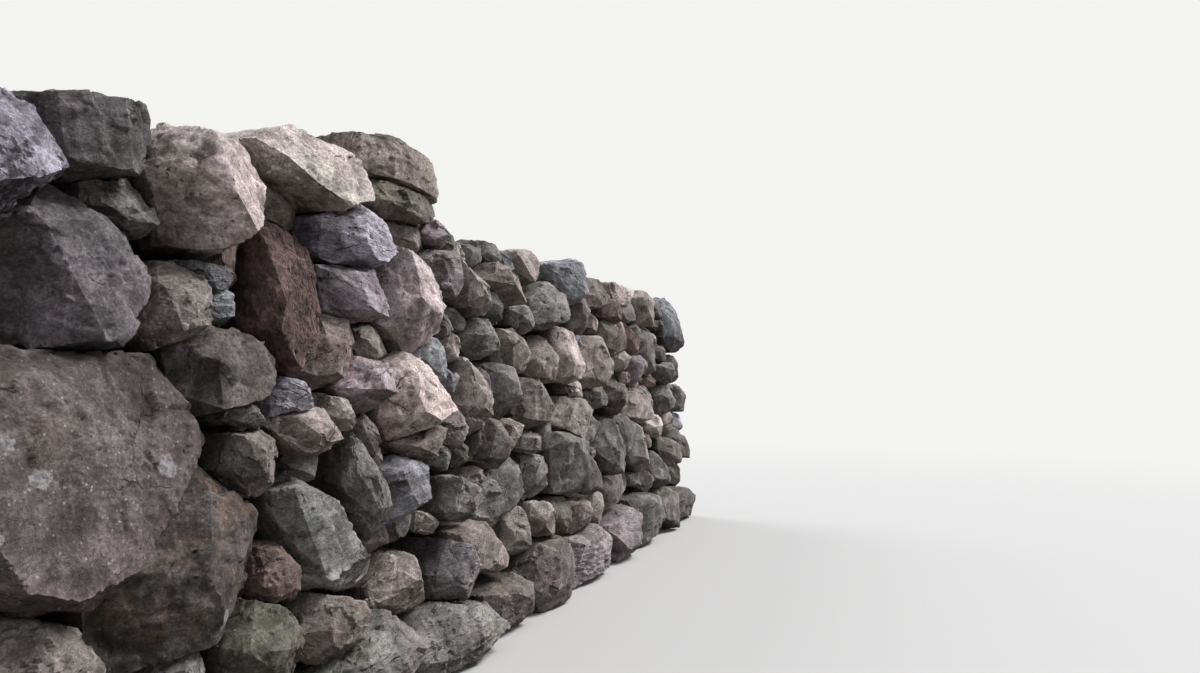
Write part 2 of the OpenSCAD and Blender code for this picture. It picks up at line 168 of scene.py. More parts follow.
# %% [markdown]
# ## Hewing a stone
#
# A real stone was split, not moulded: its surface is a set of flats, with the corners knocked off
# by further, smaller breaks. We send out rays from a point inside the stone and stop each at the
# nearest plane. Extra planes that skim the corners are the breaks. The rays go through the points
# of an icosahedron whose edges are cut into equal parts, so the result is one closed skin with
# even triangles and no poles. The more parts, the finer the stone.

# %% Ray directions at several levels of detail
MOST_NEIGHBOURS = 6
LEVELS = (7, 8, 10, 12, 14, 17, 20, 24, 28, 33, 40, 50)


def ray_sphere(parts):
    """Unit directions, triangles, and each point's neighbours: an icosahedron, its edges in parts."""
    ball = bmesh.new()
    bmesh.ops.create_icosphere(ball, subdivisions=1, radius=1.0)
    bmesh.ops.subdivide_edges(ball, edges=ball.edges[:], cuts=parts - 1, use_grid_fill=True)
    bmesh.ops.triangulate(ball, faces=ball.faces[:])
    ball.verts.index_update()
    rays = np.array([v.co for v in ball.verts])
    rays /= np.linalg.norm(rays, axis=1)[:, None]
    triangles = np.array([[v.index for v in face.verts] for face in ball.faces])
    # A point with fewer neighbours than most counts some of them twice, so that all rows are full
    neighbours = np.array(
        [([e.other_vert(v).index for e in v.link_edges] * 2)[:MOST_NEIGHBOURS] for v in ball.verts]
    )
    ball.free()
    return rays, triangles, neighbours


SPHERES = {parts: ray_sphere(parts) for parts in LEVELS}
print({parts: len(sphere[1]) for parts, sphere in SPHERES.items()}, "triangles by parts")

# %% [markdown]
# ## Crisp arrises
#
# An even net of triangles doesn't know where two flats meet, and would draw each arris as the edge
# of a saw. So every ray also finds its second nearest plane. A point that lies close to the line
# where its two planes cross is slid onto that line. How close it lay is kept as a mask, which the
# paint uses later to make arrises pale: rubbed wear, and a painted highlight.

# %% Arrises
SLIDE_REACH = 0.55  # of the distance between neighbouring points
BLUNT_SINE = 0.2  # two flats that meet at less than this are left as they are
SHARP_SINE = 0.6
# How wide the pale arris is: rubbed wear and a painted highlight
WORN_AND_HIGHLIT_WIDTH = 0.006
ON_THE_SKIN = 1e-5
PARALLEL = 1e-6


def nearest_planes(rays, normals, distances):
    """How far each ray runs to its nearest plane, and which planes are nearest and next."""
    facing = rays @ normals.T
    lengths = np.where(facing > PARALLEL, distances / np.maximum(facing, PARALLEL), np.inf)
    first = lengths.argmin(1)
    rows = np.arange(len(rays))
    reached = lengths[rows, first].copy()
    lengths[rows, first] = np.inf
    return reached, first, lengths.argmin(1)


def drawn_to_arris(points, spacing, planes, first, second):
    """Slides points that lie close to an arris onto it, and tells how near an arris each one was."""
    normals, distances = planes
    one, two = normals[first], normals[second]
    cosine = (one * two).sum(1)
    sine = np.sqrt(np.maximum(1 - cosine**2, PARALLEL))
    travel = (distances[second] - (two * points).sum(1)) / sine
    slid = points + (two - cosine[:, None] * one) / sine[:, None] * travel[:, None]
    inside = (slid @ normals.T - distances).max(1) < ON_THE_SKIN
    close = inside & (travel < SLIDE_REACH * spacing) & (sine > BLUNT_SINE)
    sharpness = np.minimum(1.0, sine / SHARP_SINE)
    return np.where(close[:, None], slid, points), sharpness * np.exp(-travel / WORN_AND_HIGHLIT_WIDTH)


# %% [markdown]
# ## Knocking off the corners
#
# The rays start close behind the face, so most of them land on what can be seen, and few on the
# tail that is buried in the wall. The random breaks lean towards the face, where hammer and frost
# can reach. Small stones get more of them. Two of the front stones also have one large facet each,
# given by a point that it goes through and the way it faces. A little smoothing wears the arrises.

# %% Hewing
TAIL_SHARE = 0.6
FRONT_SHARE = 0.9
HEART_DEPTH = 0.01  # the point that the rays start from lies at least this deep
CHIPS = 4
CHIP_DEPTH = 0.09
SMALL_PARTS = 36  # a stone with no more parts than this is a small one
SMALL_MORE = 2
SMALL_DEEPER = 1.35
LEAN_TO_FACE = 0.5
MOSTLY_SHALLOW = 1.5
WORN_SHARE = 0.2
WORN_FROM, WORN_OVER = 12, 50
OWN_FACETS = {
    "grey_wedge_stone": [((-2.67, -0.345, 1.33), (-0.68, -0.72, -0.13))],
    "dark_cap_block": [((-2.555, -0.366, 1.65), (0.50, -0.85, 0.10))],
}


def rays_for(low, high, axes, parts):
    """Where the rays start, with half the stone's size along its axes, and which way they run."""
    half = (high - low) / 2
    front = min(half[0], FRONT_SHARE * min(half[1], half[2]))
    heart = np.array([high[0] - front, (low[1] + high[1]) / 2, (low[2] + high[2]) / 2]) @ axes
    rays = SPHERES[parts][0] * [front, half[1], half[2]]
    rays[:, 0] *= np.where(rays[:, 0] < 0, TAIL_SHARE, 1.0)
    return heart, half, (rays / np.linalg.norm(rays, axis=1)[:, None]) @ axes


def hew(stone, outward, parts, rng, facets=()):
    """A broken stone's points, triangles, arris mask and inset, from its plain solid."""
    corners, planes = stone
    across = np.array([outward[2], outward[0], outward[1]])
    axes = np.array([outward, across, np.cross(outward, across)])
    local = corners @ axes.T
    heart, half, rays = rays_for(local.min(0), local.max(0), axes, parts)
    if (planes[:, :3] @ heart - planes[:, 3]).max() > -HEART_DEPTH:
        heart = corners.mean(0)
    chips, depth = CHIPS, CHIP_DEPTH
    if parts <= SMALL_PARTS:
        chips, depth = SMALL_MORE * CHIPS, SMALL_DEEPER * CHIP_DEPTH
    breaks = rng.normal(size=(chips, 3)) + LEAN_TO_FACE * outward
    breaks /= np.linalg.norm(breaks, axis=1)[:, None]
    bite = depth * 2 * min(half[1], half[2]) * rng.uniform(0.0, 1.0, chips) ** MOSTLY_SHALLOW
    reach = ((corners - heart) @ breaks.T).max(0) - bite
    for through, facing in facets:
        facing = np.array(facing) / np.linalg.norm(facing)
        breaks = np.vstack([breaks, facing])
        reach = np.append(reach, (np.array(through) - heart) @ facing)
    normals = np.vstack([planes[:, :3], breaks])
    distances = np.concatenate([planes[:, 3] - planes[:, :3] @ heart, reach])
    _, triangles, neighbours = SPHERES[parts]
    lengths, first, second = nearest_planes(rays, normals, distances)
    points = rays * lengths[:, None]
    spacing = np.linalg.norm(points[neighbours] - points[:, None], axis=2).mean(1)
    points, arris = drawn_to_arris(points, spacing, (normals, distances), first, second)
    wear = max(0.0, WORN_SHARE * (parts - WORN_FROM) / WORN_OVER)
    points = (1 - wear) * points + wear * points[neighbours].mean(1) + heart
    inset = (points @ outward).max() - points @ outward
    return points, triangles, arris, inset


# %% [markdown]
# ## The kinds of stone
#
# The wall is gathered from one place, so its stones are cousins: grey and brown gneiss with a
# breath of mauve, tan and pale weathered blocks, a few red with iron, a few slate blue. Each kind
# is a light and a dark tone, and how much it shows of six marks: iron stain, lichen, moss, layers,
# pale specks and pits. Some of the stones in front are strong characters, and have their own.
# These own tones also hold painted light and shade: some stones at the near end are painted
# darker, as in shade, and many in the middle lighter, as in a brighter light.

# %% Kinds
MARKS = ("stain", "lichen", "moss", "layers", "specks", "pits")
KINDS = {  # a light tone, a dark tone, and the marks in the order above
    "grey": ((0.345, 0.334, 0.330), (0.143, 0.138, 0.137), (0.10, 0.40, 0.10, 0.35, 0.40, 0.30)),
    "tan": ((0.500, 0.440, 0.425), (0.240, 0.208, 0.199), (0.30, 0.30, 0.05, 0.25, 0.20, 0.35)),
    "rust": ((0.340, 0.248, 0.238), (0.130, 0.092, 0.092), (0.40, 0.10, 0.05, 0.45, 0.25, 0.70)),
    "slate": ((0.475, 0.478, 0.530), (0.160, 0.161, 0.183), (0.05, 0.50, 0.05, 0.60, 0.70, 0.50)),
    "pale": ((0.640, 0.580, 0.570), (0.360, 0.316, 0.310), (0.25, 0.20, 0.05, 0.35, 0.20, 0.35)),
    "olive": ((0.262, 0.246, 0.220), (0.104, 0.097, 0.085), (0.20, 0.40, 0.30, 0.35, 0.30, 0.30)),
    "brown": ((0.340, 0.305, 0.298), (0.145, 0.130, 0.127), (0.20, 0.50, 0.15, 0.25, 0.45, 0.25)),
    "mauve": ((0.445, 0.398, 0.424), (0.197, 0.175, 0.188), (0.15, 0.25, 0.05, 0.55, 0.30, 0.40)),
}
# Own tones, with painted light and shade: near-end stones darker, middle stones lighter
OWN_KINDS_WITH_PAINTED_LIGHT = {
    "speckled_end_stone": ((0.480, 0.470, 0.555), (0.125, 0.122, 0.150), (0.0, 0.8, 0.0, 0.2, 1.2, 2.2)),
    "dark_cap_block": ((0.180, 0.161, 0.170), (0.070, 0.064, 0.068), (0.2, 0.3, 0.2, 0.3, 0.3, 0.3)),
    "tan_boulder": ((0.750, 0.655, 0.665), (0.430, 0.365, 0.366), (0.6, 0.3, 0.1, 0.2, 0.2, 0.7)),
    "pale_cap_slab": ((0.660, 0.597, 0.572), (0.610, 0.549, 0.524), (0.1, 0.1, 0.0, 0.1, 0.0, 0.1)),
    "mossy_cap_stone": ((0.480, 0.420, 0.400), (0.180, 0.152, 0.142), (0.3, 0.4, 1.0, 0.2, 0.4, 0.8)),
    "grey_wedge_stone": ((0.232, 0.212, 0.230), (0.094, 0.085, 0.093), (0.1, 0.5, 0.2, 0.2, 0.3, 0.2)),
    "great_boulder": ((0.232, 0.196, 0.205), (0.122, 0.101, 0.106), (0.2, 1.0, 0.1, 0.1, 1.0, 0.1)),
    "base_boulder": ((0.158, 0.138, 0.140), (0.062, 0.054, 0.055), (0.6, 0.7, 0.1, 0.1, 0.4, 0.2)),
    "grey_rounded_stone": ((0.205, 0.178, 0.182), (0.086, 0.075, 0.077), (0.1, 0.4, 0.1, 0.3, 0.3, 0.3)),
    "rust_upright_stone": ((0.255, 0.160, 0.162), (0.078, 0.047, 0.049), (0.5, 0.0, 0.0, 0.25, 0.1, 1.3)),
    "blue_grey_stone": ((0.740, 0.745, 0.860), (0.330, 0.333, 0.392), (0.0, 0.3, 0.0, 0.9, 0.3, 1.1)),
    "mauve_stone": ((0.520, 0.455, 0.520), (0.250, 0.215, 0.248), (0.1, 0.2, 0.0, 0.4, 0.2, 0.4)),
    "brown_flank_stone": ((0.780, 0.660, 0.696), (0.400, 0.330, 0.350), (0.2, 0.2, 0.0, 0.3, 0.2, 0.5)),
    "rust_rough_stone": ((0.400, 0.318, 0.312), (0.132, 0.102, 0.100), (0.3, 0.2, 0.0, 0.2, 0.3, 1.0)),
    "ledge_stone": ((0.590, 0.498, 0.548), (0.236, 0.196, 0.216), (0.1, 0.2, 0.0, 0.4, 0.2, 0.4)),
    "pale_leaning_slab": ((0.405, 0.392, 0.398), (0.168, 0.162, 0.165), (0.1, 0.2, 0.0, 0.7, 0.2, 0.4)),
    "pink_tan_stone": ((0.830, 0.690, 0.690), (0.520, 0.420, 0.418), (0.3, 0.2, 0.0, 0.2, 0.2, 0.5)),
    "pink_stone": ((0.740, 0.635, 0.640), (0.420, 0.355, 0.358), (0.2, 0.2, 0.0, 0.3, 0.2, 0.4)),
}
# The kinds of the smaller stones in front, and of any just behind them: along the wall from its
# near end, up, kind
SPOTS = [
    (0.535, 1.505, "grey"), (0.925, 1.440, "rust"), (1.175, 1.610, "olive"), (1.760, 1.750, "olive"),
    (1.830, 1.645, "brown"), (0.670, 1.280, "brown"), (0.860, 1.285, "slate"), (0.905, 0.985, "grey"),
    (1.610, 1.215, "tan"), (1.970, 1.185, "slate"), (1.065, 1.035, "slate"), (1.120, 0.945, "tan"),
    (1.325, 0.990, "pale"), (0.920, 0.870, "brown"), (1.285, 0.815, "brown"), (1.515, 0.890, "brown"),
    (1.795, 0.870, "tan"), (2.055, 0.915, "mauve"), (1.025, 0.525, "rust"), (0.215, 0.455, "brown"),
    (2.100, 1.525, "mauve"), (2.275, 1.490, "pale"), (2.510, 1.450, "grey"), (2.835, 1.415, "grey"),
    (3.180, 1.500, "grey"), (3.645, 1.480, "mauve"), (3.940, 1.635, "brown"), (3.075, 1.215, "tan"),
    (2.390, 1.270, "grey"), (2.275, 1.030, "pale"), (2.575, 1.040, "grey"), (2.875, 0.980, "brown"),
    (3.440, 0.895, "tan"), (3.555, 1.060, "pale"), (2.615, 0.830, "tan"), (2.810, 0.800, "mauve"),
    (4.495, 1.690, "pale"), (4.810, 0.930, "tan"), (4.080, 0.680, "grey"), (5.150, 0.775, "pale"),
]
SPOT_REACH = 0.09
KIND_NAMES = list(KINDS)
KIND_SHARES = [0.28, 0.20, 0.03, 0.05, 0.07, 0.10, 0.14, 0.13]


def kind_of(node, middle, rng):
    """A stone's tones and marks: its own, its place's or its finish's, or drawn by share."""
    slot = slot_of[node].removesuffix("_stone")
    kind = KIND_NAMES[rng.choice(len(KIND_NAMES), p=KIND_SHARES)]
    if slot in KINDS:
        kind = slot
    for along, up, named in SPOTS:
        if math.hypot(middle[0] - cad_low[0] - along, middle[2] - up) < SPOT_REACH:
            kind = named
    return OWN_KINDS_WITH_PAINTED_LIGHT.get(node) or KINDS[kind]


# %% [markdown]
# ## One mesh for each node
#
# Every point carries what the surface rules and the paint need to know about its own stone: a
# seed, so that no two stones share a pattern, the direction of its layers, its two tones, its
# marks, and how fine its mesh is. The numbers go in as attributes, arrays with one value for each
# point. Stones near the camera get the most triangles, and stones on hidden sides few.
#
# Layers lie flat as the rock lay in its bed, a little tilted, but run upright in a stone that was
# set on its end. The arrises are marked sharp by angle here, before the weathering blurs them.

# %% A mesh from arrays
FIELD_KINDS = {"FLOAT": ("value", 1), "FLOAT_VECTOR": ("vector", 3), "FLOAT_COLOR": ("color", 4)}
FIELDS = {
    "arris": "FLOAT", "inset": "FLOAT", "seed": "FLOAT", "bedding": "FLOAT_VECTOR",
    "light": "FLOAT_COLOR", "dark": "FLOAT_COLOR", **dict.fromkeys(MARKS, "FLOAT"), "fineness": "FLOAT",
}


def new_mesh(name, points, triangles):
    """A mesh from arrays, smooth shaded."""
    mesh = bpy.data.meshes.new(name)
    mesh.vertices.add(len(points))
    mesh.vertices.foreach_set("co", points.astype(np.float32).ravel())
    mesh.loops.add(3 * len(triangles))
    mesh.loops.foreach_set("vertex_index", triangles.astype(np.int32).ravel())
    mesh.polygons.add(len(triangles))
    mesh.polygons.foreach_set("loop_start", np.arange(0, 3 * len(triangles), 3, dtype=np.int32))
    mesh.update(calc_edges=True)
    mesh.validate()
    mesh.polygons.foreach_set("use_smooth", np.ones(len(mesh.polygons), bool))
    return mesh


def set_fields(mesh, rows):
    """Stores each point's row of numbers as named attributes, one after the other."""
    column = 0
    for name, kind in FIELDS.items():
        value, width = FIELD_KINDS[kind]
        numbers = rows[:, column:column + width].astype(np.float32)
        mesh.attributes.new(name, kind, "POINT").data.foreach_set(value, numbers.ravel())
        column += width


# %% How fine each stone is cut
PARTS_BY_LOOK = 152.0
HIDDEN_PARTS = 8
FINE_PARTS = 22  # from here on a mesh can hold small breaks and grain in full


def parts_for(corners, outward):
    """How finely a stone is cut: by how large it looks from the camera, less on hidden sides."""
    away = np.linalg.norm(corners.mean(0) - np.array(EYE))
    looks = np.ptp(corners, axis=0).max() / away
    wanted = PARTS_BY_LOOK * looks if outward[1] < 0 else HIDDEN_PARTS
    return min(SPHERES, key=lambda parts: abs(parts - wanted))


fine_size = round(3.0 * FINE_PARTS / PARTS_BY_LOOK, 2)
print("seen from 3 m, a stone", fine_size, "m long is cut into", FINE_PARTS, "parts")

# %% What each stone is told about itself
SHADES = (0.78, 1.15)
TILTS = [0.22, 0.30, 0.22]
STANDING = 1.15  # a stone that is taller than this times its length stands on its end
END_GRAIN, LEAST_END_GRAIN, MOST_END_GRAIN = 1.6, 0.15, 1.1  # and shows its layers more
SEED_REACH = 40
MARK_SHARES = (0.7, 1.25)


def row_of(node, corners, tones, parts, rng):
    """A stone's seed, layer direction, two tones, marks and fineness, in the order of FIELDS."""
    light, dark, marks = tones
    shade = 1.0 if node in OWN_KINDS_WITH_PAINTED_LIGHT else rng.uniform(*SHADES)
    spans = np.ptp(corners, axis=0)
    standing = spans[2] > STANDING * spans[0]
    tilt = rng.normal(size=3) * TILTS + ([1, 0, 0] if standing else [0, 0, 1])
    seed = rng.uniform(0, SEED_REACH)
    shown = np.array(marks) * rng.uniform(*MARK_SHARES, len(MARKS))
    if standing:
        layers = MARKS.index("layers")
        shown[layers] = min(MOST_END_GRAIN, END_GRAIN * shown[layers] + LEAST_END_GRAIN)
    return np.concatenate([
        [seed], tilt / np.linalg.norm(tilt), np.array(light) * shade, [1.0],
        np.array(dark) * shade, [1.0], shown, [min(1.0, parts / FINE_PARTS)],
    ])


# %% Joining hewn stones into a node's mesh
ARRIS_ANGLE = math.radians(20)


def lay(node, stones, number):
    """The hewn stones of one node as a single object, with their fields."""
    outward = outward_of(node)
    points, triangles, rows, start = [], [], [], 0
    for index, stone in enumerate(stones):
        rng = np.random.default_rng([number, index])
        tones = kind_of(node, stone[0].mean(0), rng)
        parts = parts_for(stone[0], outward)
        facets = OWN_FACETS.get(node, ())
        own_points, own_triangles, arris, inset = hew(stone, outward, parts, rng, facets)
        row = row_of(node, stone[0], tones, parts, rng)
        count = len(own_points)
        rows.append(np.column_stack([arris, inset, np.tile(row, (count, 1))]))
        points.append(own_points)
        triangles.append(own_triangles + start)
        start += count
    mesh = new_mesh(node, np.vstack(points), np.vstack(triangles))
    mesh.set_sharp_from_angle(angle=ARRIS_ANGLE)
    set_fields(mesh, np.vstack(rows))
    return placed("laid_" + node, mesh)


laid_stones = {
    node: lay(node, stones, number) for number, (node, stones) in enumerate(stones_of.items())
}
print(sum(len(o.data.polygons) for o in laid_stones.values()), "triangles in the hewn stones")

# %% [markdown]
# ## Helpers for building node trees
#
# Node trees in a script get long, and two helpers keep them readable. One makes a node and fills
# or links its inputs in the same call. The other holds what comes out of a socket, so that a
# formula can be written with the usual signs, and each sign makes a Math node.

# %% Making nodes


def put(tree, kind, inputs=None, **settings):
    """A new node of this kind, its settings set and its inputs given plain values or linked."""
    made = tree.nodes.new(kind)
    for name, value in settings.items():
        setattr(made, name, value)
    for name, value in (inputs or {}).items():
        if isinstance(value, Value):
            tree.links.new(value.socket, made.inputs[name])
        else:
            made.inputs[name].default_value = value
    return made


# %% Arithmetic on what comes out of sockets


class Value:
    """What comes out of a socket. Where it is a number, arithmetic on it makes Math nodes."""

    def __init__(self, socket):
        self.socket = socket
        self.tree = socket.id_data

    def __add__(self, other):
        return maths("ADD", self, other)

    def __sub__(self, other):
        return maths("SUBTRACT", self, other)

    def __mul__(self, other):
        return maths("MULTIPLY", self, other)

    def __truediv__(self, other):
        return maths("DIVIDE", self, other)

    def __rtruediv__(self, other):
        return maths("DIVIDE", other, self)

    def eased(self, low, high, to_low=0.0, to_high=1.0):
        """0 up to low, 1 from high on and a soft step between, or other values than 0 and 1."""
        return out(put(self.tree, "ShaderNodeMapRange", {
            "Value": self, "From Min": low, "From Max": high, "To Min": to_low, "To Max": to_high,
        }, interpolation_type="SMOOTHSTEP"), "Result")


def out(node, which=0):
    """What comes out of a node."""
    return Value(node.outputs[which])


def group_inputs(tree):
    """What goes into a node group, by name."""
    return {socket.name: Value(socket) for socket in put(tree, "NodeGroupInput").outputs}


def tree_of(*values):
    """The tree that the first value from a socket stands in."""
    return next(value.tree for value in values if isinstance(value, Value))


def maths(operation, *values):
    """The outcome of a Math node."""
    inputs = dict(enumerate(values))
    return out(put(tree_of(*values), "ShaderNodeMath", inputs, operation=operation))


def vectors(operation, *values):
    """The outcome of a Vector Math node; a dot product and a length come out as a number."""
    places = (0, "Scale") if operation == "SCALE" else (0, 1)
    inputs = dict(zip(places, values))
    made = put(tree_of(*values), "ShaderNodeVectorMath", inputs, operation=operation)
    return out(made, "Value" if operation in ("DOT_PRODUCT", "LENGTH") else "Vector")


# %% Coordinates for each stone
SEED_SHIFT = (1.0, 0.61, 0.37)


def moved_by_seed(place, seed):
    """A place moved by the stone's seed, so that every stone gets a pattern of its own."""
    return vectors("ADD", place, vectors("SCALE", SEED_SHIFT, seed))


# %% [markdown]
# ## Weathering the surface with Geometry Nodes
#
# Hewing gave each stone its big flats. The next size down follows a rule that is the same for all
# of them, which is what Geometry Nodes are for: push every point along its normal by the sum of
# soft lumps, small tilted breaks, the edges of layers, and grain. A Voronoi cell with a random
# slant makes a believable little break, because a broken face is flat but its neighbours are not
# in line with it. On a coarse mesh the smallest of these would only look like noise, so there the
# field called fineness holds them back.

# %% Sizes of the weathering, in metres
WEATHERING = {
    "Lump Size": 0.20, "Lump Depth": 0.004,
    "Break Size": 0.110, "Break Depth": 0.009,
    "Chip Size": 0.038, "Chip Depth": 0.005,
    "Layer Thickness": 0.030, "Layer Depth": 0.007,
    "Grain Size": 0.016, "Grain Depth": 0.0018,
}
STIR_SCALE, STIR_REACH = 14.0, 0.02  # bends the edges of the breaks
SLANT_GAIN = 2.2
LUMP_GAIN, GRAIN_GAIN = 2.6, 2.5  # noise seldom uses its full range
LAYER_WANDER = 3.0
LAYER_ROUNDING, LAYER_MIDDLE = 2.5, 0.28
DEEPEST = 0.010
print(", ".join(f"{name} {value}" for name, value in WEATHERING.items()))

# %% How a tree begins and ends


def field(tree, name, kind="FLOAT"):
    """A point attribute, read inside a geometry tree."""
    made = put(tree, "GeometryNodeInputNamedAttribute", {"Name": name}, data_type=kind)
    return out(made, "Attribute")


def begun(name, sizes):
    """A geometry tree with stones going in and out, and an input for each size."""
    tree = bpy.data.node_groups.new(name, "GeometryNodeTree")
    tree.interface.new_socket("Stones", in_out="INPUT", socket_type="NodeSocketGeometry")
    tree.interface.new_socket("Stones", in_out="OUTPUT", socket_type="NodeSocketGeometry")
    for size, value in sizes.items():
        socket = tree.interface.new_socket(size, in_out="INPUT", socket_type="NodeSocketFloat")
        socket.default_value = value
    return tree, group_inputs(tree)


def pushed(geometry, by):
    """A geometry with every point moved along its normal."""
    tree = geometry.tree
    offset = vectors("SCALE", out(put(tree, "GeometryNodeInputNormal")), by)
    return out(put(tree, "GeometryNodeSetPosition", {"Geometry": geometry, "Offset": offset}))


def ended(geometry):
    """Ends a tree: what it made becomes real mesh and takes the material it is given."""
    tree = geometry.tree
    tree.interface.new_socket("Finish", in_out="INPUT", socket_type="NodeSocketMaterial")
    real = out(put(tree, "GeometryNodeRealizeInstances", {"Geometry": geometry}))
    inputs = {"Geometry": real, "Material": group_inputs(tree)["Finish"]}
    put(tree, "NodeGroupOutput", {"Stones": out(put(tree, "GeometryNodeSetMaterial", inputs))})
    return tree


# %% The weathering tree


def weathering_tree():
    """A tree that breaks and weathers hewn stones, and stores how deep each point was pushed."""
    tree, given = begun("weathered_stone_surface", WEATHERING)
    own = moved_by_seed(out(put(tree, "GeometryNodeInputPosition")), field(tree, "seed"))

    def noise(size, detail):
        inputs = {"Vector": own, "Scale": 1.0 / size, "Detail": detail}
        return out(put(tree, "ShaderNodeTexNoise", inputs)) - 0.5

    swirl = put(tree, "ShaderNodeTexNoise", {"Vector": own, "Scale": STIR_SCALE, "Detail": 2.0})
    stirred = vectors("ADD", own, vectors("SCALE", out(swirl, "Color"), STIR_REACH))

    def breaks(size, depth):
        cells = put(tree, "ShaderNodeTexVoronoi", {"Vector": stirred, "Scale": 1.0 / size})
        slant = vectors("SUBTRACT", out(cells, "Color"), (0.5, 0.5, 0.5))
        off_middle = vectors("SUBTRACT", stirred, out(cells, "Position"))
        return vectors("DOT_PRODUCT", slant, off_middle) / size * SLANT_GAIN * depth

    lumps = noise(given["Lump Size"], detail=2.0) * LUMP_GAIN * given["Lump Depth"]
    broken = breaks(given["Break Size"], given["Break Depth"])
    chipped = breaks(given["Chip Size"], given["Chip Depth"])
    up_the_layers = vectors("DOT_PRODUCT", own, field(tree, "bedding", "FLOAT_VECTOR"))
    wander = noise(given["Lump Size"], detail=3.0) * LAYER_WANDER
    tread = maths("FRACT", up_the_layers / given["Layer Thickness"] + wander)
    ledge = maths("POWER", tread, LAYER_ROUNDING) - LAYER_MIDDLE
    layers = ledge * (given["Layer Depth"] * field(tree, "layers"))
    grain = noise(given["Grain Size"], detail=4.0) * GRAIN_GAIN * given["Grain Depth"]
    push = lumps + broken + (layers + grain + chipped) * field(tree, "fineness")
    moved = pushed(given["Stones"], push - given["Lump Depth"] * 0.5)
    hollow = push.eased(-DEEPEST, DEEPEST, 1.0, 0.0)
    kept = put(tree, "GeometryNodeStoreNamedAttribute", {
        "Geometry": moved, "Name": "hollow", "Value": hollow,
    }, data_type="FLOAT", domain="POINT")
    return ended(out(kept))


weathering = weathering_tree()
print(len(weathering.nodes), "nodes in the weathering tree")

# %% [markdown]
# ## The finish of the stones
#
# One node group paints every kind of stone, because the rules of weather are the same for all. The
# paint goes on in steps, from the rock itself to what has settled on it. Each step is a function
# that takes the colour so far and gives it back with one more mark: most are marks of age, and a
# few are painted light and shade. Patterns read Object coordinates, moved by each stone's own
# seed, and are pressed flat along its layers where the rock was.

# %% Reading fields and mixing colours


def attribute(tree, name, output="Fac"):
    """A point attribute, read inside a material."""
    return out(put(tree, "ShaderNodeAttribute", attribute_name=name), output)


def mixed(share, low, high, blend="MIX"):
    """One colour laid over another by share."""
    # On a Mix node for colours, input 0 is the share, and 6 and 7 are the two colours
    inputs = {0: share, 6: low, 7: high}
    tree = tree_of(share, low, high)
    return out(put(tree, "ShaderNodeMix", inputs, data_type="RGBA", blend_type=blend), 2)


def shaded(colour, value, share=1.0):
    """A colour multiplied by a number, as far as the share says."""
    grey = out(put(colour.tree, "ShaderNodeCombineColor", {0: value, 1: value, 2: value}))
    return mixed(share, colour, grey, "MULTIPLY")


def tinted(colour, tint, share):
    """A colour multiplied by another where the share says so."""
    return mixed(share, colour, mixed(1.0, colour, tint, "MULTIPLY"))


# %% [markdown]
# ## Patterns on a stone
#
# Nearly every mark is a noise, eased into a share that says where the mark shows. So a pattern is
# a small record, and each mark's pattern stands under its own name beside the step that uses it.
# Pressed coordinates are squeezed along the layers, which draws any pattern out into bands. One
# class holds the stone's coordinates and fields while the paint goes on, so that a step reads like
# a recipe.

# %% Patterns


class Pattern(NamedTuple):
    """A noise, and the two values between which it is eased into what it gives."""

    scale: float  # lumps a metre
    detail: float  # how many ever smaller noises are added to it
    low: float = 0.0
    high: float = 1.0
    gives: tuple = (0.0, 1.0)
    rough: float = 0.6
    pressed: float = 1.0  # how many times it is squeezed along the layers


# %% The stone that takes them
PRESS_GAIN = 1.6


class PaintedStone:
    """The stone under the brush: its fields, its coordinates, and patterns on them."""

    def __init__(self, tree):
        self.tree = tree
        self.given = group_inputs(tree)
        self.place = out(put(tree, "ShaderNodeTexCoord"), "Object")
        self.own = moved_by_seed(self.place, attribute(tree, "seed"))
        self.bedding = attribute(tree, "bedding", "Vector")
        self.up_the_layers = vectors("DOT_PRODUCT", self.own, self.bedding)
        normal = out(put(tree, "ShaderNodeNewGeometry"), "Normal")
        self.upward = out(put(tree, "ShaderNodeSeparateXYZ", {0: normal}), 2)

    def pressed(self, by):
        """The stone's coordinates, squeezed along its layers."""
        if by == 1.0:
            return self.own
        more = self.up_the_layers * self.given["Layers"] * (PRESS_GAIN * (by - 1.0))
        return vectors("ADD", self.own, vectors("SCALE", self.bedding, more))

    def texture(self, pattern):
        """A pattern's noise texture."""
        return put(self.tree, "ShaderNodeTexNoise", {
            "Vector": self.pressed(pattern.pressed),
            "Scale": pattern.scale, "Detail": pattern.detail, "Roughness": pattern.rough,
        })

    def noise(self, pattern):
        """A pattern's noise as it is, before it is eased."""
        return out(self.texture(pattern))

    def share(self, pattern, value=None):
        """A pattern's noise, or a value made from it, eased into what the pattern gives."""
        value = self.noise(pattern) if value is None else value
        return value.eased(pattern.low, pattern.high, *pattern.gives)

    def stirred(self, where, pattern, by):
        """Coordinates pushed about by noise, so that straight lines wander."""
        return vectors("ADD", where, vectors("SCALE", out(self.texture(pattern), "Color"), by))

    def cells(self, scale, where, channel):
        """How far off its cell's middle each place lies, and each cell's random number."""
        made = put(self.tree, "ShaderNodeTexVoronoi", {"Vector": where, "Scale": scale})
        drawn = put(self.tree, "ShaderNodeSeparateColor", {0: out(made, "Color")})
        return out(made, "Distance"), out(drawn, channel)


# %% [markdown]
# ## The rock
#
# Broken rock is a mottle of two tones. Gneiss also shows its layers as bands. Over both go slow
# changes that keep a large face from looking even: clouds of light and dark, a drift between cool
# and warm, stain where iron rusts out of the stone, and a film of algae.

